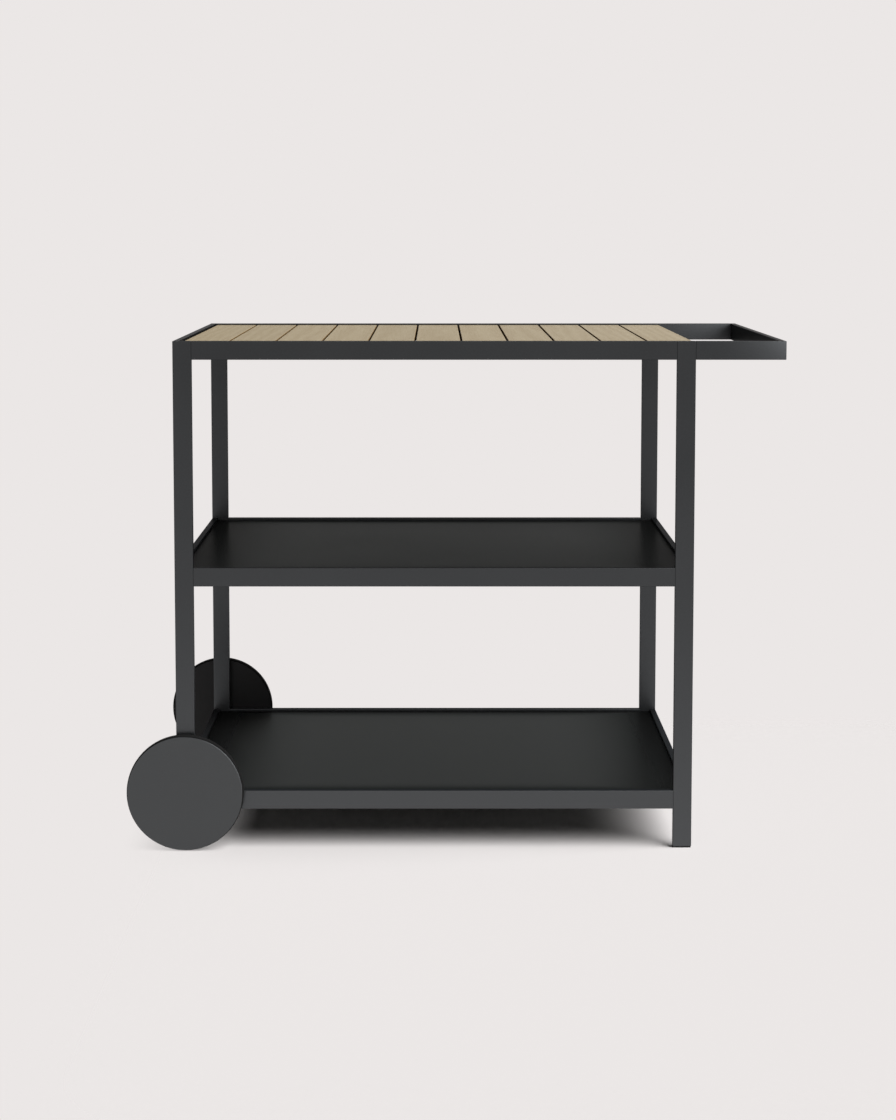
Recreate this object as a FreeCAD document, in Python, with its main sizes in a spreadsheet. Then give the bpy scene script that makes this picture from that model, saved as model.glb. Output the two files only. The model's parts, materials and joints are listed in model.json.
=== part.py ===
# Outdoor serving trolley: a flat-bar frame with a teak slat top, two sheet shelves,
# a push handle at the right end and two disc wheels at the left end.
# +X runs along the length towards the handle, +Y from the front to the rear, +Z up.
# The origin is on the floor, at the middle of the trolley's box. Sizes are in millimetres.
import FreeCAD, Part
import os
import re

from FreeCAD import Placement, Rotation, Vector

SLAT_COUNT = 11

# Each driving dimension: its name, its value and what it measures.
SIZES = (
    ("frame_length", 840, "outer face of the left posts to outer face of the right posts"),
    ("frame_depth", 500, "front faces to rear faces of the posts"),
    ("frame_height", 830, "floor to the top of the posts and rails"),
    ("post_width", 30, "width of a post, seen from the front"),
    ("bar_height", 30, "height of the rails, rims and handle bars"),
    ("bar_thickness", 10, "thickness of the flat bar"),
    ("bar_edge_radius", 0.8, "rounding of the flat bar's edges"),
    ("handle_reach", 145, "outer face of the right posts to the end of the handle"),
    ("mid_shelf_top", 462, "floor to the top of the middle shelf's rim"),
    ("low_shelf_top", 95, "floor to the top of the low shelf's rim"),
    ("panel_recess", 4, "top of the rim to the top of the shelf panel"),
    ("panel_sheet", 2, "thickness of a shelf panel"),
    ("panel_edge_radius", 0.4, "rounding of the shelf panels' and strips' edges"),
    ("panel_clearance", 0.3, "gap between a panel or strip and the rim beside it"),
    ("strip_height", 20, "height of the strips that are welded under a panel's edges"),
    ("strip_thickness", 3, "thickness of those strips"),
    ("slat_thickness", 17.5, "thickness of a slat"),
    ("slat_recess", 2.5, "top of the rails to the top of the slats"),
    ("slat_gap", 3, "gap between two slats, and beside the left rail"),
    ("slat_end_clearance", 1, "gap between a slat's end and the rail"),
    ("slat_edge_radius", 1.2, "rounding of the slats' edges"),
    ("ledge_width", 12, "width of the bars that carry the slats' ends"),
    ("foot_height", 2.5, "height of the foot glide under a right post"),
    ("foot_inset", 0.6, "how far the glide stays inside the post's outline"),
    ("foot_edge_radius", 0.8, "rounding of the glide's pad"),
    ("foot_pin_radius", 2.5, "radius of the glide's pin"),
    ("foot_pin_length", 14, "length of the glide's pin in the post"),
    ("hole_clearance", 0.1, "radial room round a screw, pin or thread"),
    ("hole_end_room", 0.5, "room past the end of a screw or pin in its hole"),
    ("screw_radius", 2.5, "radius of the screws in the metal bars"),
    ("screw_bite", 6, "how far a screw goes into a rim, rail or post"),
    ("screw_head_radius", 4.75, "radius of the screws' button heads"),
    ("screw_head_height", 2.7, "height of the screws' button heads"),
    ("screw_socket_radius", 1.7, "radius over the corners of the hexagon socket"),
    ("screw_socket_depth", 1.6, "depth of the hexagon socket"),
    ("screw_inset", 5, "screw axis to the inner side of the post that it enters"),
    ("screw_drop", 16, "top of the rim to the screw axes of a shelf"),
    ("rim_screw_spread", 250, "middle of a long bar to its outer screws"),
    ("side_screw_spread", 130, "middle of a short rim to its screws"),
    ("slat_screw_radius", 2, "radius of the wood screws"),
    ("slat_screw_bite", 11, "how far a wood screw goes into its slat"),
    ("slat_screw_head_radius", 3.8, "radius of a wood screw's head"),
    ("slat_screw_head_height", 2.2, "height of a wood screw's head"),
    ("slat_screw_head_depth", 3, "depth of the ledge's counterbore for that head"),
    ("wheel_diameter", 190, "diameter over the tyre"),
    ("wheel_gap", 2, "outer face of the post to the inner face of the wheel"),
    ("tyre_width", 12, "width of the tyre and of the core disc"),
    ("tyre_height", 3, "radial height of the tyre"),
    ("tyre_edge_radius", 1.2, "rounding of the tyre's edges"),
    ("cover_thickness", 2, "thickness of the wheel's cover disc"),
    ("cover_inset", 1.6, "tyre's tread to the edge of the cover disc"),
    ("cover_edge_radius", 0.6, "rounding of the cover disc's edges"),
    ("press_gap", 0.05, "radial gap of pieces pressed together"),
    ("bush_wall", 2.5, "wall of the wheel's bush"),
    ("running_clearance", 0.05, "radial gap between the bush and the axle"),
    ("running_gap", 0.3, "gap along the axle at each side of the bush"),
    ("axle_radius", 6, "radius of the shoulder bolt's shoulder"),
    ("axle_thread_radius", 4, "radius of the shoulder bolt's thread"),
    ("axle_end_wall", 2, "what is left of the post behind the bolt's end"),
    ("axle_head_radius", 9, "radius of the shoulder bolt's head"),
    ("axle_head_height", 3.5, "height of the shoulder bolt's head"),
    ("axle_head_room", 1, "room round and over the head in the core disc"),
    ("axle_socket_radius", 3.4, "radius over the corners of the bolt's hexagon socket"),
    ("axle_socket_depth", 2.5, "depth of the bolt's hexagon socket"),
    ("spacer_radius", 11, "outer radius of the spacer washer"),
)

document = FreeCAD.newDocument("serving_trolley")
sheet = document.addObject("Spreadsheet::Sheet", "Sizes")
for row, (name, value, meaning) in enumerate(SIZES, start=1):
    sheet.set(f"A{row}", name)
    sheet.set(f"B{row}", str(value))
    sheet.setAlias(f"B{row}", name)
    sheet.set(f"C{row}", meaning)
document.recompute()

NAMES = {name for name, value, meaning in SIZES}

# Planes and places that several pieces share, as formulas of the driving dimensions.
LEFT = "((wheel_diameter / 2 - post_width / 2 - frame_length - handle_reach) / 2)"
RIGHT = f"({LEFT} + frame_length)"
MIDDLE = f"({LEFT} + frame_length / 2)"
OUTER_Y = {"front": "(0 - frame_depth / 2)", "rear": "(frame_depth / 2)"}
INNER_Y = {"front": "(bar_thickness - frame_depth / 2)", "rear": "(frame_depth / 2 - bar_thickness)"}
BAR_Y = {"front": OUTER_Y["front"], "rear": INNER_Y["rear"]}
INNER_DEPTH = "(frame_depth - 2 * bar_thickness)"
POST_X = {"left": LEFT, "right": f"({RIGHT} - post_width)"}
SIDE_BAR_X = {"left": LEFT, "right": f"({RIGHT} - bar_thickness)"}
INNER_X = {"left": f"({LEFT} + bar_thickness)", "right": f"({RIGHT} - bar_thickness)"}
INNER_LENGTH = "(frame_length - 2 * bar_thickness)"
POST_SCREW_X = {
    "left": f"({LEFT} + post_width - screw_inset)",
    "right": f"({RIGHT} - post_width + screw_inset)",
}
SHELF_TOP = {"mid": "mid_shelf_top", "low": "low_shelf_top"}
RAIL_BOTTOM = "(frame_height - bar_height)"
LEDGE_HEIGHT = "(bar_height - slat_recess - slat_thickness)"
SLAT_BOTTOM = f"({RAIL_BOTTOM} + {LEDGE_HEIGHT})"
AXLE_HEIGHT = "(wheel_diameter / 2)"
CORE_RADIUS = "(wheel_diameter / 2 - tyre_height)"
HEAD_POCKET_DEPTH = "(axle_head_height + running_gap + axle_head_room)"
BUSH_LENGTH = f"(tyre_width - {HEAD_POCKET_DEPTH})"
SCREW_HOLE_RADIUS = "screw_radius + hole_clearance"

# Turns that point a piece's own +Z axis along one of the trolley's axes.
UP = Rotation()
TURN_TO = {
    ("x", 1): Rotation(Vector(0, 1, 0), 90),
    ("x", -1): Rotation(Vector(0, 1, 0), -90),
    ("y", 1): Rotation(Vector(1, 0, 0), -90),
    ("y", -1): Rotation(Vector(1, 0, 0), 90),
    ("z", 1): UP,
}
SIGN = {"front": -1, "rear": 1, "left": -1, "right": 1}

pieces = []
corner_of = {}
cuts = []


def formula(text):
    """Turn names of driving dimensions into references to the sheet's cells."""
    return re.sub(r"[a-z_]+", lambda m: f"Sizes.{m[0]}" if m[0] in NAMES else m[0], text)


def bind(thing, **sizes):
    for name, text in sizes.items():
        thing.setExpression(name, formula(text))


def place(thing, point, turn=UP):
    thing.Placement = Placement(Vector(), turn)
    for axis, text in zip("xyz", point):
        thing.setExpression(f"Placement.Base.{axis}", formula(text))


def new_body(label):
    body = document.addObject("PartDesign::Body", label)
    body.Label = label
    pieces.append(body)
    return body


def round_edges(body, base, radius):
    rounding = body.newObject("PartDesign::Fillet", f"{body.Name}_edges")
    rounding.Base = (base, ["Edge1"])
    rounding.UseAllEdges = True
    bind(rounding, Radius=radius)


def block(label, corner, extent, radius):
    """A bar or board with rounded edges, from its lowest corner and its extent."""
    body = new_body(label)
    solid = body.newObject("PartDesign::AdditiveBox", f"{label}_block")
    bind(solid, Length=extent[0], Width=extent[1], Height=extent[2])
    round_edges(body, solid, radius)
    place(body, corner)
    corner_of[label] = corner
    return body


def cylinder(body, kind, name, low, radius, height):
    """A cylinder along the body's own Z axis, from its lower end."""
    solid = body.newObject(f"PartDesign::{kind}Cylinder", f"{body.Name}_{name}")
    bind(solid, Radius=radius, Height=height)
    place(solid, ("0", "0", low))
    if kind == "Subtractive":
        cuts.append(solid)
    return solid


def drill(body, point, direction, radius, depth):
    """A round hole that starts at a point of the trolley and runs along a direction."""
    hole = body.newObject("PartDesign::SubtractiveCylinder", f"{body.Name}_hole")
    bind(hole, Radius=radius, Height=depth)
    own_point = [f"({at}) - ({low})" for at, low in zip(point, corner_of[body.Label])]
    place(hole, own_point, TURN_TO[direction])
    cuts.append(hole)


def moved(point, direction, distance):
    """The point that lies a distance further along a direction."""
    axis, sign = direction
    step = "+" if sign > 0 else "-"
    shifted = list(point)
    index = "xyz".index(axis)
    shifted[index] = f"({point[index]} {step} ({distance}))"
    return tuple(shifted)


def against(direction):
    axis, sign = direction
    return axis, -sign


def socket_cut(body, head_end, radius, depth):
    """The hexagon socket in a screw's head."""
    socket = body.newObject("PartDesign::SubtractivePrism", f"{body.Name}_socket")
    socket.Polygon = 6
    bind(socket, Circumradius=radius, Height=depth)
    place(socket, ("0", "0", head_end))
    cuts.append(socket)


def screw_pattern(name, shank_radius, shank_length, head_radius, head_height):
    """One screw, with the underside of its head at its origin and its shank along +Z."""
    body = document.addObject("PartDesign::Body", name)
    cylinder(body, "Additive", "shank", "0", shank_radius, shank_length)
    cylinder(body, "Additive", "head", f"0 - {head_height}", head_radius, head_height)
    socket_cut(body, f"0 - {head_height}", "screw_socket_radius", "screw_socket_depth")
    return body


def screw_group(label, pattern, places):
    """Copies of one screw at the given points and directions, as one piece."""
    copies = []
    for number, (point, direction) in enumerate(places, start=1):
        copy = document.addObject("App::Link", f"{label}_{number}")
        copy.LinkedObject = pattern
        place(copy, point, TURN_TO[direction])
        copies.append(copy)
    group = document.addObject("Part::Compound", label)
    group.Label = label
    group.Links = copies
    pieces.append(group)


def fasten(bar, held, point, direction, held_thickness):
    """Drill a bar and the piece held against it, and return the screw's place."""
    hole_depth = "screw_bite + hole_end_room"
    drill(bar, point, direction, SCREW_HOLE_RADIUS, hole_depth)
    seat = moved(point, against(direction), held_thickness)
    drill(held, seat, direction, SCREW_HOLE_RADIUS, held_thickness)
    return seat, direction


# Posts: the left pair ends below the axle, and the right pair stands on the glides.
posts = {}
for end in ("left", "right"):
    for side in ("front", "rear"):
        low = {"left": f"({AXLE_HEIGHT} - post_width)", "right": "foot_height"}[end]
        posts[end, side] = block(
            f"{end}_{side}_post",
            (POST_X[end], BAR_Y[side], low),
            ("post_width", "bar_thickness", f"frame_height - {low}"),
            "bar_edge_radius",
        )

# Foot glides: a pad under the post with a pin that is pushed into it.
for side in ("front", "rear"):
    post = posts["right", side]
    middle = (f"{RIGHT} - post_width / 2", f"{BAR_Y[side]} + bar_thickness / 2")
    foot = new_body(f"right_{side}_foot")
    pad = foot.newObject("PartDesign::AdditiveBox", f"{foot.Name}_pad")
    bind(
        pad,
        Length="post_width - 2 * foot_inset",
        Width="bar_thickness - 2 * foot_inset",
        Height="foot_height",
    )
    place(pad, ("foot_inset - post_width / 2", "foot_inset - bar_thickness / 2", "0"))
    round_edges(foot, pad, "foot_edge_radius")
    pin_length = "foot_pin_length + foot_height / 2"
    cylinder(foot, "Additive", "pin", "foot_height / 2", "foot_pin_radius", pin_length)
    place(foot, (*middle, "0"))
    drill(
        post,
        (*middle, "foot_height"),
        ("z", 1),
        "foot_pin_radius + hole_clearance",
        "foot_pin_length + hole_end_room",
    )

# Top frame: rails between the posts, with a low crossbar under the last slat.
rails = {}
for side in ("front", "rear"):
    rails[side] = block(
        f"top_{side}_rail",
        (f"{LEFT} + post_width", BAR_Y[side], RAIL_BOTTOM),
        ("frame_length - 2 * post_width", "bar_thickness", "bar_height"),
        "bar_edge_radius",
    )
block(
    "top_left_rail",
    (LEFT, INNER_Y["front"], RAIL_BOTTOM),
    ("bar_thickness", INNER_DEPTH, "bar_height"),
    "bar_edge_radius",
)
block(
    "top_right_crossbar",
    (SIDE_BAR_X["right"], INNER_Y["front"], RAIL_BOTTOM),
    ("bar_thickness", INNER_DEPTH, LEDGE_HEIGHT),
    "bar_edge_radius",
)

# Push handle: an arm beyond each right post, and the grip between their ends.
for side in ("front", "rear"):
    block(
        f"handle_{side}_arm",
        (RIGHT, BAR_Y[side], RAIL_BOTTOM),
        ("handle_reach", "bar_thickness", "bar_height"),
        "bar_edge_radius",
    )
block(
    "handle_grip",
    (f"{RIGHT} + handle_reach - bar_thickness", INNER_Y["front"], RAIL_BOTTOM),
    ("bar_thickness", INNER_DEPTH, "bar_height"),
    "bar_edge_radius",
)

# Ledges along the front and rear rails, screwed to the rails and posts.
ledges = {}
ledge_screw_places = []
LEDGE_Y = {"front": INNER_Y["front"], "rear": f"({INNER_Y['rear']} - ledge_width)"}
for side in ("front", "rear"):
    ledge = block(
        f"slat_ledge_{side}",
        (INNER_X["left"], LEDGE_Y[side], RAIL_BOTTOM),
        (INNER_LENGTH, "ledge_width", LEDGE_HEIGHT),
        "bar_edge_radius",
    )
    ledges[side] = ledge
    bars_at = {
        f"({MIDDLE} - rim_screw_spread)": rails[side],
        f"({MIDDLE} + rim_screw_spread)": rails[side],
        POST_SCREW_X["left"]: posts["left", side],
        POST_SCREW_X["right"]: posts["right", side],
    }
    for across, bar in bars_at.items():
        point = (across, INNER_Y[side], f"{RAIL_BOTTOM} + {LEDGE_HEIGHT} / 2")
        seat = fasten(bar, ledge, point, ("y", SIGN[side]), "ledge_width")
        ledge_screw_places.append(seat)
ledge_screw = screw_pattern(
    "ledge_screw", "screw_radius", "ledge_width + screw_bite", "screw_head_radius", "screw_head_height"
)
screw_group("ledge_screws", ledge_screw, ledge_screw_places)

# Slats, each held at both ends by a wood screw whose head is sunk into the ledge's underside.
SLATS_LEFT = f"({INNER_X['left']} + slat_gap)"
SLAT_PITCH = f"(({RIGHT} - {SLATS_LEFT} + slat_gap) / {SLAT_COUNT})"
slat_screw_places = []
for index in range(SLAT_COUNT):
    slat_left = f"({SLATS_LEFT} + {index} * {SLAT_PITCH})"
    slat = block(
        f"slat_{index + 1:02d}",
        (slat_left, f"{INNER_Y['front']} + slat_end_clearance", SLAT_BOTTOM),
        (f"{SLAT_PITCH} - slat_gap", f"{INNER_DEPTH} - 2 * slat_end_clearance", "slat_thickness"),
        "slat_edge_radius",
    )
    for side in ("front", "rear"):
        across = f"({slat_left} + ({SLAT_PITCH} - slat_gap) / 2)"
        along = f"({LEDGE_Y[side]} + ledge_width / 2)"
        screw_hole = "slat_screw_radius + hole_clearance"
        head_hole = "slat_screw_head_radius + hole_clearance"
        drill(slat, (across, along, SLAT_BOTTOM), ("z", 1), screw_hole, "slat_screw_bite + hole_end_room")
        drill(ledges[side], (across, along, RAIL_BOTTOM), ("z", 1), screw_hole, LEDGE_HEIGHT)
        drill(ledges[side], (across, along, RAIL_BOTTOM), ("z", 1), head_hole, "slat_screw_head_depth")
        seat = (across, along, f"{RAIL_BOTTOM} + slat_screw_head_depth")
        slat_screw_places.append((seat, ("z", 1)))
slat_screw = screw_pattern(
    "slat_screw",
    "slat_screw_radius",
    f"{LEDGE_HEIGHT} - slat_screw_head_depth + slat_screw_bite",
    "slat_screw_head_radius",
    "slat_screw_head_height",
)
screw_group("slat_screws", slat_screw, slat_screw_places)


def shelf_panel(shelf, top):
    """A flat panel, and the strips that are welded under its four edges. Returns the strips."""
    left = f"({INNER_X['left']} + panel_clearance)"
    front = f"({INNER_Y['front']} + panel_clearance)"
    right = f"({INNER_X['right']} - panel_clearance - strip_thickness)"
    rear = f"({INNER_Y['rear']} - panel_clearance - strip_thickness)"
    panel_length = f"({INNER_LENGTH} - 2 * panel_clearance)"
    panel_depth = f"({INNER_DEPTH} - 2 * panel_clearance)"
    underside = f"({top} - panel_recess - panel_sheet)"
    strip_bottom = f"({underside} - strip_height)"
    block(
        f"{shelf}_shelf_panel",
        (left, front, underside),
        (panel_length, panel_depth, "panel_sheet"),
        "panel_edge_radius",
    )
    long_strip = (panel_length, "strip_thickness", "strip_height")
    short_strip = ("strip_thickness", f"{panel_depth} - 2 * strip_thickness", "strip_height")
    inner_front = f"({front} + strip_thickness)"
    layout = {
        "front": ((left, front, strip_bottom), long_strip),
        "rear": ((left, rear, strip_bottom), long_strip),
        "left": ((left, inner_front, strip_bottom), short_strip),
        "right": ((right, inner_front, strip_bottom), short_strip),
    }
    return {
        side: block(f"{shelf}_shelf_{side}_strip", corner, extent, "panel_edge_radius")
        for side, (corner, extent) in layout.items()
    }


# Shelves: four rims round a panel, whose strips are screwed to the rims and posts.
shelf_screw = screw_pattern(
    "shelf_screw",
    "screw_radius",
    "strip_thickness + panel_clearance + screw_bite",
    "screw_head_radius",
    "screw_head_height",
)
for shelf, top in SHELF_TOP.items():
    rim_bottom = f"({top} - bar_height)"
    screw_height = f"({top} - screw_drop)"
    strips = shelf_panel(shelf, top)
    held_thickness = "panel_clearance + strip_thickness"
    places = []
    for side in ("front", "rear"):
        rim = block(
            f"{shelf}_{side}_rim",
            (f"{LEFT} + post_width", BAR_Y[side], rim_bottom),
            ("frame_length - 2 * post_width", "bar_thickness", "bar_height"),
            "bar_edge_radius",
        )
        bars_at = {
            f"({MIDDLE} - rim_screw_spread)": rim,
            MIDDLE: rim,
            f"({MIDDLE} + rim_screw_spread)": rim,
            POST_SCREW_X["left"]: posts["left", side],
            POST_SCREW_X["right"]: posts["right", side],
        }
        for across, bar in bars_at.items():
            point = (across, INNER_Y[side], screw_height)
            places.append(fasten(bar, strips[side], point, ("y", SIGN[side]), held_thickness))
    for end in ("left", "right"):
        rim = block(
            f"{shelf}_{end}_rim",
            (SIDE_BAR_X[end], INNER_Y["front"], rim_bottom),
            ("bar_thickness", INNER_DEPTH, "bar_height"),
            "bar_edge_radius",
        )
        for along in ("(0 - side_screw_spread)", "side_screw_spread"):
            point = (INNER_X[end], along, screw_height)
            places.append(fasten(rim, strips[end], point, ("x", SIGN[end]), held_thickness))
    screw_group(f"{shelf}_shelf_screws", shelf_screw, places)


# Wheels: each piece is made along its own +Z axis, which then points away from the post,
# with its origin where the axle meets the post's outer face.
def on_axle(label, side):
    piece = new_body(label)
    place(piece, (f"{LEFT} + post_width / 2", OUTER_Y[side], AXLE_HEIGHT), TURN_TO["y", SIGN[side]])
    return piece


for side in ("front", "rear"):
    post = posts["left", side]
    thread_length = "(bar_thickness - axle_end_wall)"
    shoulder_length = f"(wheel_gap + {BUSH_LENGTH} + running_gap)"
    axle_end = (f"{LEFT} + post_width / 2", OUTER_Y[side], AXLE_HEIGHT)
    drill(post, axle_end, ("y", -SIGN[side]), "axle_thread_radius + hole_clearance", thread_length)

    axle = on_axle(f"{side}_axle_bolt", side)
    cylinder(axle, "Additive", "shoulder", "0", "axle_radius", shoulder_length)
    cylinder(axle, "Additive", "thread", f"0 - {thread_length}", "axle_thread_radius", thread_length)
    cylinder(axle, "Additive", "head", shoulder_length, "axle_head_radius", "axle_head_height")
    socket_end = f"{shoulder_length} + axle_head_height - axle_socket_depth"
    socket_cut(axle, socket_end, "axle_socket_radius", "axle_socket_depth")

    spacer = on_axle(f"{side}_axle_spacer", side)
    cylinder(spacer, "Additive", "ring", "0", "spacer_radius", "wheel_gap - running_gap")
    cylinder(spacer, "Subtractive", "bore", "0", "axle_radius + hole_clearance", "wheel_gap")

    bush = on_axle(f"{side}_wheel_bush", side)
    bush_radius = "(axle_radius + running_clearance + bush_wall)"
    cylinder(bush, "Additive", "sleeve", "wheel_gap", bush_radius, BUSH_LENGTH)
    cylinder(bush, "Subtractive", "bore", "wheel_gap", "axle_radius + running_clearance", "tyre_width")

    core = on_axle(f"{side}_wheel_core", side)
    head_pocket = f"wheel_gap + {BUSH_LENGTH}"
    cylinder(core, "Additive", "disc", "wheel_gap", CORE_RADIUS, "tyre_width")
    cylinder(core, "Subtractive", "bore", "wheel_gap", f"{bush_radius} + press_gap", "tyre_width")
    cylinder(
        core, "Subtractive", "pocket", head_pocket, "axle_head_radius + axle_head_room", HEAD_POCKET_DEPTH
    )

    tyre = on_axle(f"{side}_wheel_tyre", side)
    tread = cylinder(tyre, "Additive", "tread", "wheel_gap", "wheel_diameter / 2", "tyre_width")
    round_edges(tyre, tread, "tyre_edge_radius")
    cylinder(tyre, "Subtractive", "seat", "wheel_gap", f"{CORE_RADIUS} + press_gap", "tyre_width")

    cover = on_axle(f"{side}_wheel_cover", side)
    cover_radius = "wheel_diameter / 2 - cover_inset"
    face = cylinder(cover, "Additive", "face", "wheel_gap + tyre_width", cover_radius, "cover_thickness")
    round_edges(cover, face, "cover_edge_radius")

document.recompute()

for thing in document.Objects:
    if "Invalid" in thing.State or "Error" in thing.State:
        raise RuntimeError(f"{thing.Label} failed: {thing.State}")
for cut in cuts:
    if cut.Shape.Volume >= cut.BaseFeature.Shape.Volume:
        raise RuntimeError(f"{cut.Label} removes nothing")
for piece in pieces:
    if piece.Shape.isNull() or not piece.Shape.isValid():
        raise RuntimeError(f"{piece.Label} has no valid shape")

os.makedirs("parts", exist_ok=True)
for piece in pieces:
    piece.Shape.exportStep(f"parts/{piece.Label}.step")
print(len(pieces), "pieces")
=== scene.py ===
"""Finishes and stages an outdoor serving trolley around its packed frame."""

import json
import math

import bmesh
import bpy
from bpy.props import FloatProperty, FloatVectorProperty, IntProperty, PointerProperty
from bpy.types import NodeSocket, Operator, Panel, PropertyGroup
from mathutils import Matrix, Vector


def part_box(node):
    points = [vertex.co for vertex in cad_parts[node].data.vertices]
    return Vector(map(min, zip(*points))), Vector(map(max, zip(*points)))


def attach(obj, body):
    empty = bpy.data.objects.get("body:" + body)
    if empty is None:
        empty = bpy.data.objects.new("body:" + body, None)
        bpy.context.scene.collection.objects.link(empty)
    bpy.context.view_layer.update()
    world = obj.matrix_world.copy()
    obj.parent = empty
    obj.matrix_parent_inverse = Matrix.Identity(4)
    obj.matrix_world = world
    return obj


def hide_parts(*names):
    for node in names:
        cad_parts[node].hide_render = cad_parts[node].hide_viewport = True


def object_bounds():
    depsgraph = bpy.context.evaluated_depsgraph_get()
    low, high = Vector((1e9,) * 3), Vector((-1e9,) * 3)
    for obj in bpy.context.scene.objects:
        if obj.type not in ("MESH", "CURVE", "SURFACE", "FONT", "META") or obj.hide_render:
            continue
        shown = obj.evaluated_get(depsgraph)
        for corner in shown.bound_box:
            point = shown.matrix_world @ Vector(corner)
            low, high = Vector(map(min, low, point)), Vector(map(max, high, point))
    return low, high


bl_info = {
    "name": "Serving Trolley",
    "version": (1, 0, 0),
    "blender": (4, 5, 0),
    "location": "View3D > Sidebar > Trolley",
    "description": "Finishes, tyres and stage for an outdoor serving trolley",
    "category": "Object",
}

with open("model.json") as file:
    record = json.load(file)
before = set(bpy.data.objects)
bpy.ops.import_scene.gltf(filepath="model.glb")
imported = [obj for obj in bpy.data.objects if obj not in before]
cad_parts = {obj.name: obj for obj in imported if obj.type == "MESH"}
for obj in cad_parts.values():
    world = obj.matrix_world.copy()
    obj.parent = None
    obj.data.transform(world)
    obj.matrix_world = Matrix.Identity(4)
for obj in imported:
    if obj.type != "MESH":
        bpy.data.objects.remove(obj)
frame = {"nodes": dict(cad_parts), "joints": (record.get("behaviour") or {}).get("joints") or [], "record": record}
cad_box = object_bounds()

SIDES = ("front", "rear")
SLOT_OF = {part["node"]: part["material_slot"] for part in frame["record"]["subparts"]}
SLATS = sorted(name for name, slot in SLOT_OF.items() if slot == "teak")
AXLES = {joint["child"]: Vector(joint["pos_m"]) for joint in frame["joints"]}
# The turn about X that points a camera or a lamp along +Y.
LEVEL_TURN = math.radians(90.0)


def colour(name, description, default):
    """A colour that a user may change, as linear values."""
    return FloatVectorProperty(
        name=name, description=description, default=default, subtype="COLOR", min=0.0, max=1.0
    )


def length(name, description, default):
    """A length that a user may change, in metres."""
    return FloatProperty(
        name=name, description=description, default=default, min=0.0, unit="LENGTH", precision=5
    )


def angle(name, description, degrees):
    """An angle that a user may change."""
    return FloatProperty(
        name=name, description=description, default=math.radians(degrees), unit="ROTATION"
    )


def amount(name, description, default):
    """A plain number that a user may change."""
    return FloatProperty(name=name, description=description, default=default, min=0.0, precision=3)


def spot(name, description, default):
    """A place in the scene."""
    return FloatVectorProperty(
        name=name, description=description, default=default, subtype="TRANSLATION", unit="LENGTH"
    )


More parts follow.
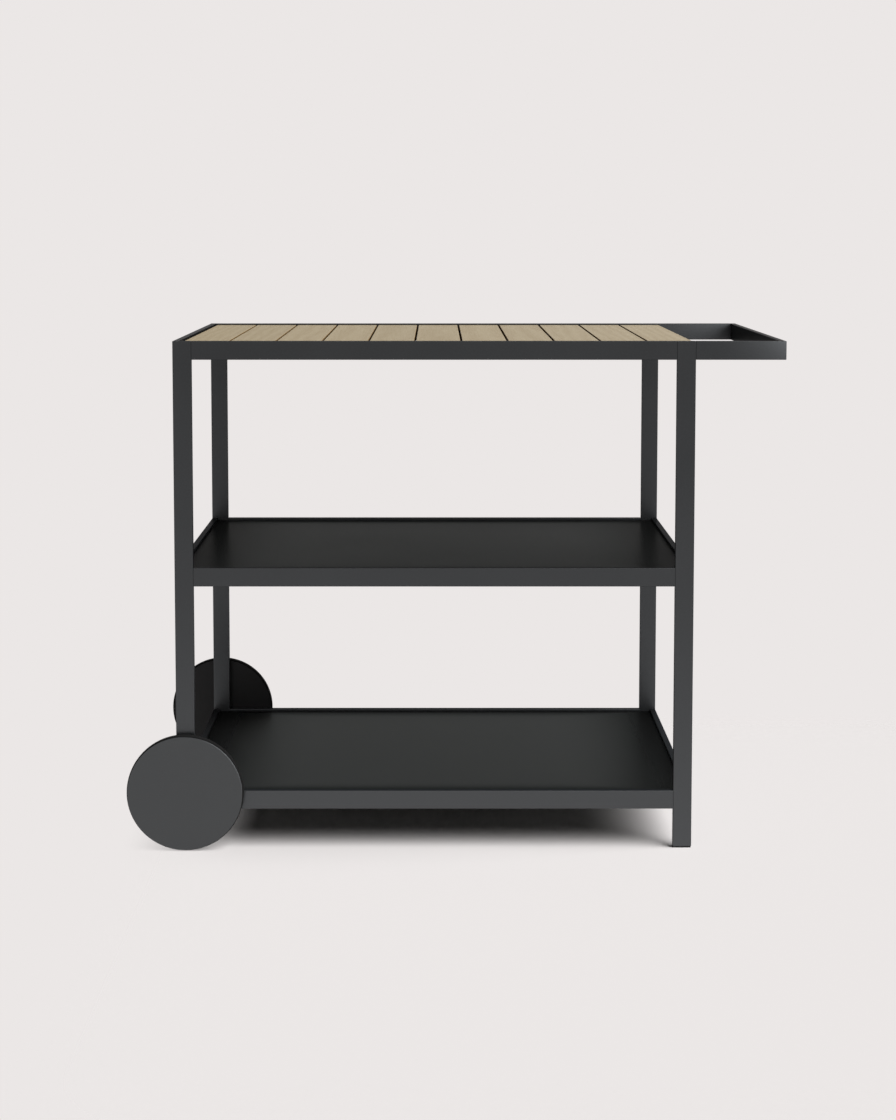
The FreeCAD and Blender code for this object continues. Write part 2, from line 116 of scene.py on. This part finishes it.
class TrolleyFinishes(PropertyGroup):
    """Colours and scales of the trolley's surfaces"""

    bar_coat: colour("Bar coat", "Powder coat of the bars", (0.048, 0.0507, 0.0530))
    panel_coat: colour("Panel coat", "Powder coat of the shelf panels", (0.1012, 0.1057, 0.1054))
    disc_coat: colour("Disc coat", "Powder coat of the wheel discs", (0.0805, 0.0852, 0.0882))
    bar_flake: amount("Bar flake", "Share of metal flakes in the coat of bars and discs", 0.95)
    panel_flake: amount("Panel flake", "Share of metal flakes in the coat of the panels", 1.0)
    bar_edge: amount("Bar edge", "Gloss of the bars and discs at a low angle", 0.25)
    panel_edge: amount("Panel edge", "Gloss of the panels at a low angle", 0.24)
    bar_rough: amount("Bar roughness", "Mean roughness of the coat on bars and discs", 0.35)
    panel_rough: amount("Panel roughness", "Mean roughness of the coat on the panels", 0.34)
    coat_swing: amount("Coat swing", "How far the coat's roughness swings about its mean", 0.05)
    coat_grain: length("Coat grain", "Size of the powder coat's pebbles", 0.0007)
    # Painted floor bounce: how much paler each coat is at the floor than at the top.
    bar_painted_bounce: amount("Bar painted bounce", "How much paler the bars are at the floor than at the top", 0.9)
    panel_painted_bounce: amount("Panel painted bounce", "How much paler a panel at the floor is than one at the top", 0.48)
    disc_painted_bounce: amount("Disc painted bounce", "How much paler the discs are at the floor than at the top", 0.0)
    painted_bounce_power: amount("Painted bounce power", "How quickly the painted bounce thins out upwards", 1.5)
    # Painted shade at the shelf panels' edges.
    panel_shade: amount("Panel shade", "Share of the coat's tone that is left at a panel's edges", 0.38)
    end_shade: length("End shade", "Width of the shade at a panel's ends", 0.20)
    side_shade: length("Side shade", "Width of the shade at a panel's front and rear", 0.05)
    shade_power: amount("Shade power", "How quickly the shade thins out from a panel's edges", 2.0)
    teak_pale: colour("Pale teak", "Early wood of the slats", (0.406, 0.343, 0.236))
    teak_dark: colour("Dark teak", "Late wood of the slats", (0.350, 0.287, 0.191))
    teak_pore: colour("Teak pores", "Pores and streaks of the slats", (0.195, 0.143, 0.084))
    # Painted shade on the slats' sides, where they face a gap.
    teak_gap_edge_shade: colour("Teak edge shade", "The sides of the slats just below their tops", (0.20, 0.125, 0.055))
    teak_gap_shade: colour("Teak gap shade", "Sides of the slats, in their gaps", (0.008, 0.004, 0.002))
    edge_shade_start: length("Edge start", "How far inside a slat's side the edge's tone starts", 0.0008)
    edge_shade_full: length("Edge full", "How far inside a slat's side the edge's tone is full", 0.0002)
    gap_shade_start: length("Side start", "How far below a slat's top the side's tone starts", 0.0012)
    gap_shade_full: length("Side full", "How far below a slat's top the side's tone is full", 0.0035)
    ring_width: length("Ring width", "Spacing of the growth rings in the teak", 0.006)
    streak_share: amount("Streak share", "Share of streaks, beside rings, in the teak's figure", 0.68)
    # Painted light across the top: the teak is darker and more saturated at the left end than at the handle.
    left_painted_light: amount("Left brightness", "Brightness of the teak at the left end", 0.90)
    right_painted_light: amount("Right brightness", "Brightness of the teak at the handle", 1.045)
    left_painted_saturation: amount("Left saturation", "Saturation of the teak at the left end", 1.14)
    right_painted_saturation: amount("Right saturation", "Saturation of the teak at the handle", 1.02)
    slat_swing: amount("Slat swing", "How far the slats' brightness swings by chance", 0.02)
    rubber: colour("Rubber", "Rubber of the tyres", (0.008, 0.008, 0.008))
    black_plastic: colour("Black plastic", "Wheel cores and foot glides", (0.0135, 0.0135, 0.014))
    pale_plastic: colour("Pale plastic", "Bushes of the wheels", (0.500, 0.490, 0.450))
    steel: colour("Steel", "Screws, axle bolts and spacers", (0.520, 0.520, 0.530))


class TrolleyTyres(PropertyGroup):
    """Shape of the tyres"""

    crown: length("Crown", "How far the tread's edges lie below its middle", 0.0004)
    shoulder: length("Shoulder", "Rounding of the tread's edges", 0.0012)
    groove_width: length("Groove width", "Width of a groove in the tread", 0.0012)
    groove_depth: length("Groove depth", "Depth of a groove in the tread", 0.0007)
    steps: IntProperty(name="Steps", description="Steps round a tyre", default=144, min=48)


class TrolleyStage(PropertyGroup):
    """Camera, floor, backdrop and light"""

    camera_spot: spot("Camera", "Where the camera stands", (-0.0285, -3.1175, 1.0227))
    camera_tilt: angle("Camera tilt", "How far the camera looks down", 4.037)
    camera_lens: amount("Camera lens", "Focal length of the camera, in millimetres", 57.65)
    camera_shift: FloatVectorProperty(
        name="Camera shift", description="Shift of the camera's frame", default=(0.0101, -0.19), size=2
    )
    backdrop: colour("Backdrop", "Colour behind the trolley", (0.8308, 0.7991, 0.7913))
    floor: colour("Floor", "Colour of the floor", (0.903, 0.869, 0.860))
    floor_middle: spot("Floor middle", "Middle of the floor", (0.30, -0.35, 0.0))
    floor_half: spot("Floor half size", "Half the floor's size before it fades", (0.63, 0.67, 0.0))
    floor_fade: length("Floor fade", "Width over which the floor fades into the backdrop", 0.22)
    ambient: amount("Ambient", "Strength of the light from all round", 0.025)
    key_strength: amount("Key strength", "Strength of the soft key light", 3.965)
    key_angle: angle("Key angle", "Angular size of the key light", 52.0)
    key_from: spot("Key direction", "Direction that the key light comes from", (0.62, -0.31, 0.70))
    fill_spot: spot("Fill light", "Where the fill light before the handle stands", (0.65, -0.55, 0.90))
    fill_size: length("Fill size", "Width and height of the fill light", 0.12)
    fill_power: amount("Fill power", "Power of the fill light, in watts", 0.28)
    fill_spread: angle("Fill spread", "Spread of the fill light", 90.0)


def new_finish(name):
    """A material, its node tree and its shader."""
    finish = bpy.data.materials.new(name)
    finish.use_nodes = True
    return finish, finish.node_tree, finish.node_tree.nodes["Principled BSDF"]


def node(tree, kind, **settings):
    """A node with its own settings."""
    made = tree.nodes.new(kind)
    for name, value in settings.items():
        setattr(made, name, value)
    return made


def supply(tree, socket, value):
    """Link an input to another node's output, or set it."""
    if isinstance(value, NodeSocket):
        tree.links.new(value, socket)
    else:
        socket.default_value = value


def feed(tree, target, **inputs):
    """Link or set a node's inputs, whose names have underscores for spaces."""
    for name, value in inputs.items():
        supply(tree, target.inputs[name.replace("_", " ")], value)


def calculated(tree, operation, *values):
    """A sum, quotient or other result of values."""
    maths = node(tree, "ShaderNodeMath", operation=operation)
    for socket, value in zip(maths.inputs, values):
        supply(tree, socket, value)
    return maths.outputs["Value"]


def vector_result(tree, operation, *vectors):
    """A sum, difference or other result of vectors."""
    maths = node(tree, "ShaderNodeVectorMath", operation=operation)
    for socket, vector in zip(maths.inputs, vectors):
        supply(tree, socket, vector)
    return maths.outputs["Vector"]


def own_place(tree):
    """A piece's own coordinates, in metres."""
    return node(tree, "ShaderNodeTexCoord").outputs["Object"]


def separated(tree, place):
    """A place's X, Y and Z."""
    axes = node(tree, "ShaderNodeSeparateXYZ")
    feed(tree, axes, Vector=place)
    return axes.outputs


def grained(tree, place, across, along):
    """A place that is scaled across and along Y, so that a texture on it has a grain."""
    mapping = node(tree, "ShaderNodeMapping")
    feed(tree, mapping, Vector=place, Scale=(across, along, across))
    return mapping.outputs["Vector"]


def noise(tree, place, scale, detail, roughness=0.5):
    """Cloudy noise."""
    texture = node(tree, "ShaderNodeTexNoise")
    feed(tree, texture, Vector=place, Scale=scale, Detail=detail, Roughness=roughness)
    return texture.outputs["Fac"]


def spread(tree, value, first, last, start=0.3, end=0.7):
    """A result that goes from first to last as a value, such as a texture's, goes from start to end."""
    mapped = node(tree, "ShaderNodeMapRange")
    feed(tree, mapped, Value=value, From_Min=start, From_Max=end, To_Min=first, To_Max=last)
    return mapped.outputs["Result"]


def ramp(tree, value, start, end):
    """Colours between a start and an end, each given as (position, colour)."""
    blend = node(tree, "ShaderNodeValToRGB")
    for element, (position, tone) in zip(blend.color_ramp.elements, (start, end)):
        element.position = position
        element.color = (*tone, 1.0)
    feed(tree, blend, Fac=value)
    return blend.outputs["Color"]


def toned(tone, factor):
    """A colour made darker or lighter."""
    return tuple(channel * factor for channel in tone)


def clouded(tree, value, tone, dark, pale, start=0.3, end=0.7):
    """A colour that follows a texture's value between a dark and a pale share of itself."""
    return ramp(tree, value, (start, toned(tone, dark)), (end, toned(tone, pale)))


def mixed(tree, share, first, second, blend="MIX"):
    """Two colours mixed by a share of the second."""
    mix = node(tree, "ShaderNodeMix", data_type="RGBA", blend_type=blend)
    feed(tree, mix, Factor=share, A=first, B=(*second, 1.0))
    return mix.outputs["Result"]


def relief(tree, height, strength, distance, below=None):
    """A bumpy normal, laid over another where one is given."""
    bump = node(tree, "ShaderNodeBump")
    feed(tree, bump, Height=height, Strength=strength, Distance=distance)
    if below is not None:
        feed(tree, bump, Normal=below)
    return bump.outputs["Normal"]


def powder_coat(name, look, tone, bounce_paling, flake, edge, rough):
    """Matt powder coat with metal flakes and fine pebbles, with painted light: the coat is paler towards the
    floor, standing in for light that bounces off the floor.
    """
    finish, tree, shader = new_finish(name)
    place = own_place(tree)
    pebbles = noise(tree, place, scale=1.0 / look.coat_grain, detail=2.0, roughness=0.6)
    clouds = noise(tree, place, scale=6.0, detail=3.0)
    specks = noise(tree, place, scale=420.0, detail=2.0)
    uneven = calculated(tree, "DIVIDE", calculated(tree, "ADD", clouds, specks), 2.0)
    coat = clouded(tree, uneven, tone, dark=0.91, pale=1.09, start=0.35, end=0.65)
    # Painted floor bounce: the coat is mixed towards a paler tone the nearer it is to the floor.
    height = separated(tree, place)["Z"]
    drop = spread(tree, height, 1.0, 0.0, start=cad_box[0].z, end=cad_box[1].z)
    painted_bounce_share = calculated(tree, "POWER", drop, look.painted_bounce_power)
    feed(
        tree,
        shader,
        Base_Color=mixed(tree, painted_bounce_share, coat, toned(tone, 1.0 + bounce_paling)),
        Metallic=flake,
        Roughness=spread(tree, pebbles, rough - look.coat_swing, rough + look.coat_swing),
        Specular_IOR_Level=0.0,
        Specular_Tint=(edge, edge, edge, 1.0),
        Normal=relief(tree, pebbles, strength=0.25, distance=0.00012),
    )
    return finish


def paint_edge_shade(finish, look):
    """Paint shade into the coat of the shelf panels, which share one outline: it darkens towards their edges."""
    tree = finish.node_tree
    base = tree.nodes["Principled BSDF"].inputs["Base Color"]
    low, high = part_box("mid_shelf_panel")
    off_middle = vector_result(tree, "SUBTRACT", own_place(tree), (low + high) / 2)
    across = vector_result(tree, "ABSOLUTE", off_middle)
    inside = separated(tree, vector_result(tree, "SUBTRACT", (high - low) / 2, across))
    near_end = spread(tree, inside["X"], 1.0, 0.0, start=0.0, end=look.end_shade)
    near_side = spread(tree, inside["Y"], 1.0, 0.0, start=0.0, end=look.side_shade)
    # Painted shade: the mix below darkens the coat towards the panels' ends, front and rear.
    nearest = calculated(tree, "MAXIMUM", near_end, near_side)
    share = calculated(tree, "POWER", nearest, look.shade_power)
    shade = (look.panel_shade, look.panel_shade, look.panel_shade)
    coat = base.links[0].from_socket
    tree.links.new(mixed(tree, share, coat, shade, blend="MULTIPLY"), base)


def slat_shares(tree, place, look):
    """The count of slats from the left end, and the shares of the painted shade at a slat's edge and on its side
    in a gap.
    """
    first_low, first_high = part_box(SLATS[0])
    second_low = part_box(SLATS[1])[0]
    pitch = second_low.x - first_low.x
    gap = second_low.x - first_high.x
    axes = separated(tree, place)
    from_left = calculated(tree, "SUBTRACT", axes["X"], first_low.x - gap / 2)
    count = calculated(tree, "DIVIDE", from_left, pitch)
    off_middle = calculated(tree, "SUBTRACT", calculated(tree, "FRACT", count), 0.5)
    from_middle = calculated(tree, "MULTIPLY", calculated(tree, "ABSOLUTE", off_middle), pitch)
    half = (pitch - gap) / 2
    near_side = spread(tree, from_middle, 0.0, 1.0, half - look.edge_shade_start, half - look.edge_shade_full)
    # The last slat's right side faces no other slat, gets no painted gap shade and keeps the tone of its top.
    faces_a_slat = calculated(tree, "LESS_THAN", count, len(SLATS) - 0.5)
    edge = calculated(tree, "MULTIPLY", near_side, faces_a_slat)
    depth = calculated(tree, "SUBTRACT", first_high.z, axes["Z"])
    gap_depth_share = spread(tree, depth, 0.0, 1.0, look.gap_shade_start, look.gap_shade_full)
    return count, edge, calculated(tree, "MULTIPLY", edge, gap_depth_share)


def teak(name, look):
    """Bare teak whose grain runs along Y, different on each slat, with painted light that makes it paler towards
    the handle and painted shade on the slats' sides in their gaps.
    """
    finish, tree, shader = new_finish(name)
    place = own_place(tree)
    count, edge, side = slat_shares(tree, place, look)
    chance = node(tree, "ShaderNodeTexWhiteNoise", noise_dimensions="1D")
    feed(tree, chance, W=calculated(tree, "FLOOR", count))
    # Each slat is cut from another place in the log, at most this far away.
    log_size = (0.05, 3.0, 0.09)
    board = vector_result(tree, "MULTIPLY_ADD", chance.outputs["Color"], log_size, place)
    rings = node(tree, "ShaderNodeTexWave", wave_type="RINGS", rings_direction="Y")
    # At a scale of 1 the rings would lie pi / 10 metres apart.
    feed(
        tree,
        rings,
        Vector=grained(tree, board, across=1.0, along=0.22),
        Scale=math.pi / 10 / look.ring_width,
        Distortion=5.0,
        Detail=2.5,
        Detail_Scale=0.35,
    )
    fibres = grained(tree, board, across=420.0, along=9.0)
    streaks = noise(tree, fibres, scale=1.0, detail=4.0, roughness=0.62)
    pores = noise(tree, grained(tree, board, across=1300.0, along=55.0), scale=1.0, detail=2.0)
    figure = node(tree, "ShaderNodeMix", data_type="FLOAT")
    feed(tree, figure, Factor=look.streak_share, A=rings.outputs["Fac"], B=streaks)
    wood = ramp(tree, figure.outputs["Result"], (0.2, look.teak_dark), (0.75, look.teak_pale))
    pore_share = spread(tree, pores, 0.4, 0.0, start=0.30, end=0.42)
    pored = mixed(tree, pore_share, wood, look.teak_pore)
    # Painted light: brightness and saturation change from the left end to the handle.
    top = {"start": 0.0, "end": len(SLATS)}
    paler = spread(tree, count, look.left_painted_light, look.right_painted_light, **top)
    swing = spread(tree, chance.outputs["Value"], -look.slat_swing, look.slat_swing, start=0.0, end=1.0)
    brightness = calculated(tree, "ADD", paler, swing)
    saturation = spread(tree, count, look.left_painted_saturation, look.right_painted_saturation, **top)
    tint = node(tree, "ShaderNodeHueSaturation")
    feed(tree, tint, Color=pored, Saturation=saturation, Value=brightness)
    # Painted shade: a darker brown at a slat's edge towards a gap, and near black on its side deeper in the gap.
    gap_edge_shaded = mixed(tree, edge, tint.outputs["Color"], look.teak_gap_edge_shade)
    ridges = relief(tree, streaks, strength=0.3, distance=0.0004)
    feed(
        tree,
        shader,
        Base_Color=mixed(tree, side, gap_edge_shaded, look.teak_gap_shade),
        Roughness=spread(tree, streaks, 0.74, 0.62),
        Specular_IOR_Level=spread(tree, edge, 0.3, 0.0, start=0.0, end=1.0),
        Normal=relief(tree, pores, strength=0.3, distance=0.0002, below=ridges),
    )
    return finish


def dusty_rubber(name, tone):
    """Matt rubber with a dusty bloom."""
    finish, tree, shader = new_finish(name)
    place = own_place(tree)
    bloom = noise(tree, place, scale=45.0, detail=4.0, roughness=0.6)
    skin = noise(tree, place, scale=1600.0, detail=2.0)
    feed(
        tree,
        shader,
        Base_Color=clouded(tree, bloom, tone, dark=1.0, pale=1.7, start=0.35, end=0.75),
        Roughness=spread(tree, bloom, 0.80, 0.95),
        Specular_IOR_Level=0.1,
        Normal=relief(tree, skin, strength=0.2, distance=0.0001),
    )
    return finish


def moulded_plastic(name, tone):
    """Moulded plastic with the fine texture of its mould."""
    finish, tree, shader = new_finish(name)
    place = own_place(tree)
    clouds = noise(tree, place, scale=30.0, detail=2.0)
    texture = noise(tree, place, scale=1900.0, detail=2.0)
    feed(
        tree,
        shader,
        Base_Color=clouded(tree, clouds, tone, dark=0.92, pale=1.08),
        Roughness=spread(tree, texture, 0.45, 0.60),
        Specular_IOR_Level=0.3,
        Normal=relief(tree, texture, strength=0.2, distance=0.00008),
    )
    return finish


def turned_steel(name, tone):
    """Stainless steel with fine scratches."""
    finish, tree, shader = new_finish(name)
    place = own_place(tree)
    clouds = noise(tree, place, scale=120.0, detail=2.0)
    scratches = noise(tree, place, scale=2600.0, detail=3.0, roughness=0.7)
    feed(
        tree,
        shader,
        Base_Color=clouded(tree, clouds, tone, dark=0.9, pale=1.05),
        Metallic=1.0,
        Roughness=spread(tree, scratches, 0.24, 0.42),
        Normal=relief(tree, scratches, strength=0.1, distance=0.00004),
    )
    return finish


def dress(slot, finish):
    """Give a finish to all the nodes of a material slot."""
    for name, slot_name in SLOT_OF.items():
        if slot_name == slot:
            mesh = frame["nodes"][name].data
            mesh.materials.clear()
            mesh.materials.append(finish)


def finished_mesh(name, work):
    """The mesh that a bmesh has made, which is then freed."""
    mesh = bpy.data.meshes.new(name)
    work.to_mesh(mesh)
    work.free()
    return mesh


def in_scene(name, data):
    """A new object in the scene."""
    made = bpy.data.objects.new(name, data)
    bpy.context.scene.collection.objects.link(made)
    return made


class TROLLEY_OT_bars(Operator):
    """Coat the posts, rails, rims, ledges and the handle"""

    bl_idname = "trolley.bars"
    bl_label = "Bars"

    def execute(self, context):
        look = context.scene.trolley_finishes
        gloss = (look.bar_flake, look.bar_edge, look.bar_rough)
        coat = powder_coat("bar_coat", look, look.bar_coat, look.bar_painted_bounce, *gloss)
        dress("frame_coat", coat)
        return {"FINISHED"}


class TROLLEY_OT_panels(Operator):
    """Coat the two shelf panels and the strips below them, with painted shade at the panels' edges"""

    bl_idname = "trolley.panels"
    bl_label = "Shelf panels"

    def execute(self, context):
        look = context.scene.trolley_finishes
        gloss = (look.panel_flake, look.panel_edge, look.panel_rough)
        coat = powder_coat("panel_coat", look, look.panel_coat, look.panel_painted_bounce, *gloss)
        paint_edge_shade(coat, look)
        dress("shelf_coat", coat)
        return {"FINISHED"}


class TROLLEY_OT_slats(Operator):
    """Finish the slats of the top as bare teak"""

    bl_idname = "trolley.slats"
    bl_label = "Slats"

    def execute(self, context):
        dress("teak", teak("slat_teak", context.scene.trolley_finishes))
        return {"FINISHED"}


class TROLLEY_OT_discs(Operator):
    """Coat the wheels' cover discs"""

    bl_idname = "trolley.discs"
    bl_label = "Wheel discs"

    def execute(self, context):
        look = context.scene.trolley_finishes
        gloss = (look.bar_flake, look.bar_edge, look.bar_rough)
        coat = powder_coat("disc_coat", look, look.disc_coat, look.disc_painted_bounce, *gloss)
        dress("wheel_coat", coat)
        return {"FINISHED"}


def tyre_section(shape, low, high, seat, outer):
    """The corners of half a tyre's section, from its seat to its tread's middle, as (radius, depth)."""
    middle = (low + high) / 2
    edge = outer - shape.crown
    groove_place = 0.6
    groove = low + (middle - low) * groove_place
    half_groove = shape.groove_width / 2
    groove_floor = outer - shape.groove_depth
    # The crown has dropped by these shares at the groove's two edges.
    outer_drop, inner_drop = 0.4, 0.2
    return [
        (seat, low),
        (edge - shape.shoulder, low),
        (edge, low + shape.shoulder),
        (outer - shape.crown * outer_drop, groove - half_groove),
        (groove_floor, groove - half_groove / 2),
        (groove_floor, groove + half_groove / 2),
        (outer - shape.crown * inner_drop, groove + half_groove),
        (outer, middle),
    ]


def turned_ring(name, section, axle, steps):
    """A closed ring: a section of (radius, depth) corners, turned about an axle along Y."""
    work = bmesh.new()
    corners = [work.verts.new((axle.x, depth, axle.z + radius)) for radius, depth in section]
    edges = [work.edges.new(pair) for pair in zip(corners, corners[1:] + corners[:1])]
    bmesh.ops.spin(
        work,
        geom=corners + edges,
        cent=axle,
        axis=(0.0, 1.0, 0.0),
        angle=math.tau,
        steps=steps,
        use_merge=True,
    )
    bmesh.ops.remove_doubles(work, verts=work.verts, dist=1e-6)
    bmesh.ops.recalc_face_normals(work, faces=work.faces)
    mesh = finished_mesh(name, work)
    mesh.shade_smooth()
    return in_scene(name, mesh)


def soften_edges(tyre, shoulder):
    """Bevel a tyre's edges, by a third of its shoulders' rounding."""
    bevel = tyre.modifiers.new("shoulders", "BEVEL")
    bevel.width = shoulder / 3
    bevel.segments = 2
    bevel.limit_method = "ANGLE"
    bevel.angle_limit = math.radians(25.0)
    bevel.harden_normals = True


class TROLLEY_OT_tyres(Operator):
    """Turn the tyres, with a crowned and grooved tread"""

    bl_idname = "trolley.tyres"
    bl_label = "Tyres"

    def execute(self, context):
        shape = context.scene.trolley_tyres
        rubber = dusty_rubber("tyre_rubber", context.scene.trolley_finishes.rubber)
        for side in SIDES:
            solid = f"{side}_wheel_tyre"
            axle = AXLES[f"{side}_wheel"]
            low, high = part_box(solid)
            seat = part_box(f"{side}_wheel_core")[1].z - axle.z
            half = tyre_section(shape, low.y, high.y, seat, high.z - axle.z)
            far_half = [(radius, low.y + high.y - depth) for radius, depth in reversed(half[:-1])]
            tyre = turned_ring(f"{side}_tyre", half + far_half, axle, shape.steps)
            tyre.data.materials.append(rubber)
            soften_edges(tyre, shape.shoulder)
            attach(tyre, f"{side}_wheel")
            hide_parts(solid)
        return {"FINISHED"}


class TROLLEY_OT_plastics(Operator):
    """Finish the wheels' cores and bushes and the foot glides"""

    bl_idname = "trolley.plastics"
    bl_label = "Plastic pieces"

    def execute(self, context):
        look = context.scene.trolley_finishes
        dress("core_plastic", moulded_plastic("core_plastic", look.black_plastic))
        dress("glide_plastic", moulded_plastic("glide_plastic", look.black_plastic))
        dress("bush_plastic", moulded_plastic("bush_plastic", look.pale_plastic))
        return {"FINISHED"}


class TROLLEY_OT_fasteners(Operator):
    """Finish the screws, axle bolts and spacers"""

    bl_idname = "trolley.fasteners"
    bl_label = "Fasteners"

    def execute(self, context):
        steel = turned_steel("fastener_steel", context.scene.trolley_finishes.steel)
        dress("screw_steel", steel)
        dress("axle_steel", steel)
        return {"FINISHED"}


def fading_floor_finish(stage, middle, half):
    """A matt finish that fades out beyond half the floor's size from its middle."""
    finish, tree, shader = new_finish("floor")
    place = own_place(tree)
    across = vector_result(tree, "ABSOLUTE", vector_result(tree, "SUBTRACT", place, middle))
    past_half = vector_result(tree, "SUBTRACT", across, half)
    outside = vector_result(tree, "MAXIMUM", past_half, (0.0, 0.0, 0.0))
    distance = node(tree, "ShaderNodeVectorMath", operation="LENGTH")
    feed(tree, distance, Vector=outside)
    fade = node(tree, "ShaderNodeMapRange", interpolation_type="SMOOTHSTEP")
    feed(
        tree,
        fade,
        Value=distance.outputs["Value"],
        From_Min=0.0,
        From_Max=stage.floor_fade,
        To_Min=1.0,
        To_Max=0.0,
    )
    speckle = noise(tree, place, scale=90.0, detail=3.0)
    feed(
        tree,
        shader,
        Base_Color=clouded(tree, speckle, stage.floor, dark=0.998, pale=1.0),
        Roughness=1.0,
        Specular_IOR_Level=0.0,
        Alpha=fade.outputs["Result"],
    )
    return finish


def pale_floor(stage):
    """A floor that keeps shadows and fades into the backdrop."""
    middle = Vector(stage.floor_middle)
    half = Vector(stage.floor_half)
    reach = max(half.x, half.y) + stage.floor_fade
    work = bmesh.new()
    bmesh.ops.create_grid(work, x_segments=1, y_segments=1, size=reach)
    bmesh.ops.translate(work, verts=work.verts, vec=middle)
    floor = in_scene("floor", finished_mesh("floor", work))
    floor.data.materials.append(fading_floor_finish(stage, middle, half))


def backdrop_world(stage):
    """A world that shows the backdrop's colour and lights the trolley a little from all round."""
    world = bpy.data.worlds.new("backdrop")
    bpy.context.scene.world = world
    world.use_nodes = True
    tree = world.node_tree
    tree.nodes.clear()
    rays = node(tree, "ShaderNodeLightPath").outputs
    reflected = calculated(tree, "MAXIMUM", rays["Is Glossy Ray"], rays["Is Transmission Ray"])
    seen = calculated(tree, "MAXIMUM", rays["Is Camera Ray"], reflected)
    shown = node(tree, "ShaderNodeBackground")
    feed(tree, shown, Color=(*stage.backdrop, 1.0), Strength=1.0)
    light = node(tree, "ShaderNodeBackground")
    feed(tree, light, Color=(1.0, 1.0, 1.0, 1.0), Strength=stage.ambient)
    choice = node(tree, "ShaderNodeMixShader")
    for socket, output in zip(choice.inputs, (seen, light.outputs[0], shown.outputs[0])):
        tree.links.new(output, socket)
    surface = node(tree, "ShaderNodeOutputWorld")
    feed(tree, surface, Surface=choice.outputs["Shader"])


def key_light(stage):
    """One large soft light from the right, the front and above."""
    lamp = bpy.data.lights.new("key_light", "SUN")
    lamp.energy = stage.key_strength
    lamp.angle = stage.key_angle
    holder = in_scene("key_light", lamp)
    holder.location = stage.key_from
    holder.rotation_euler = Vector(stage.key_from).to_track_quat("Z", "Y").to_euler()


def fill_light(stage):
    """A small soft light that shines along +Y onto the coat of the handle's end."""
    lamp = bpy.data.lights.new("fill_light", "AREA")
    lamp.size = stage.fill_size
    lamp.energy = stage.fill_power
    lamp.spread = stage.fill_spread
    holder = in_scene("fill_light", lamp)
    holder.location = stage.fill_spot
    holder.rotation_euler = (LEVEL_TURN, 0.0, 0.0)
    holder.visible_camera = False


def standing_camera(stage):
    """The camera, which looks along +Y and a little down."""
    data = bpy.data.cameras.new("camera")
    data.lens = stage.camera_lens
    data.shift_x, data.shift_y = stage.camera_shift
    camera = in_scene("camera", data)
    camera.location = stage.camera_spot
    camera.rotation_euler = (LEVEL_TURN - stage.camera_tilt, 0.0, 0.0)
    bpy.context.scene.camera = camera


class TROLLEY_OT_stage(Operator):
    """Set up the floor, the backdrop, the lights and the camera"""

    bl_idname = "trolley.stage"
    bl_label = "Stage"

    def execute(self, context):
        stage = context.scene.trolley_stage
        pale_floor(stage)
        backdrop_world(stage)
        key_light(stage)
        fill_light(stage)
        standing_camera(stage)
        context.scene.view_settings.view_transform = "Standard"
        return {"FINISHED"}


GROUPS = {
    "trolley_finishes": TrolleyFinishes,
    "trolley_tyres": TrolleyTyres,
    "trolley_stage": TrolleyStage,
}
STEPS = (
    TROLLEY_OT_bars,
    TROLLEY_OT_panels,
    TROLLEY_OT_slats,
    TROLLEY_OT_discs,
    TROLLEY_OT_tyres,
    TROLLEY_OT_plastics,
    TROLLEY_OT_fasteners,
    TROLLEY_OT_stage,
)


class TROLLEY_PT_panel(Panel):
    """Steps and settings of the serving trolley"""

    bl_idname = "TROLLEY_PT_panel"
    bl_label = "Serving Trolley"
    bl_space_type = "VIEW_3D"
    bl_region_type = "UI"
    bl_category = "Trolley"

    def draw(self, context):
        for step in STEPS:
            self.layout.operator(step.bl_idname)
        for name, group in GROUPS.items():
            box = self.layout.box()
            box.label(text=group.__doc__)
            for setting in group.__annotations__:
                box.prop(getattr(context.scene, name), setting)


CLASSES = (*GROUPS.values(), *STEPS, TROLLEY_PT_panel)


def register():
    """Add the settings, the steps and the panel to Blender."""
    for cls in CLASSES:
        bpy.utils.register_class(cls)
    for name, group in GROUPS.items():
        setattr(bpy.types.Scene, name, PointerProperty(type=group))


def unregister():
    """Take them out again."""
    for name in GROUPS:
        delattr(bpy.types.Scene, name)
    for cls in reversed(CLASSES):
        bpy.utils.unregister_class(cls)


def main():
    """Finish and stage the trolley."""
    register()
    bpy.ops.trolley.bars()
    bpy.ops.trolley.panels()
    bpy.ops.trolley.slats()
    bpy.ops.trolley.discs()
    bpy.ops.trolley.tyres()
    bpy.ops.trolley.plastics()
    bpy.ops.trolley.fasteners()
    bpy.ops.trolley.stage()


if __name__ == "__main__":
    main()
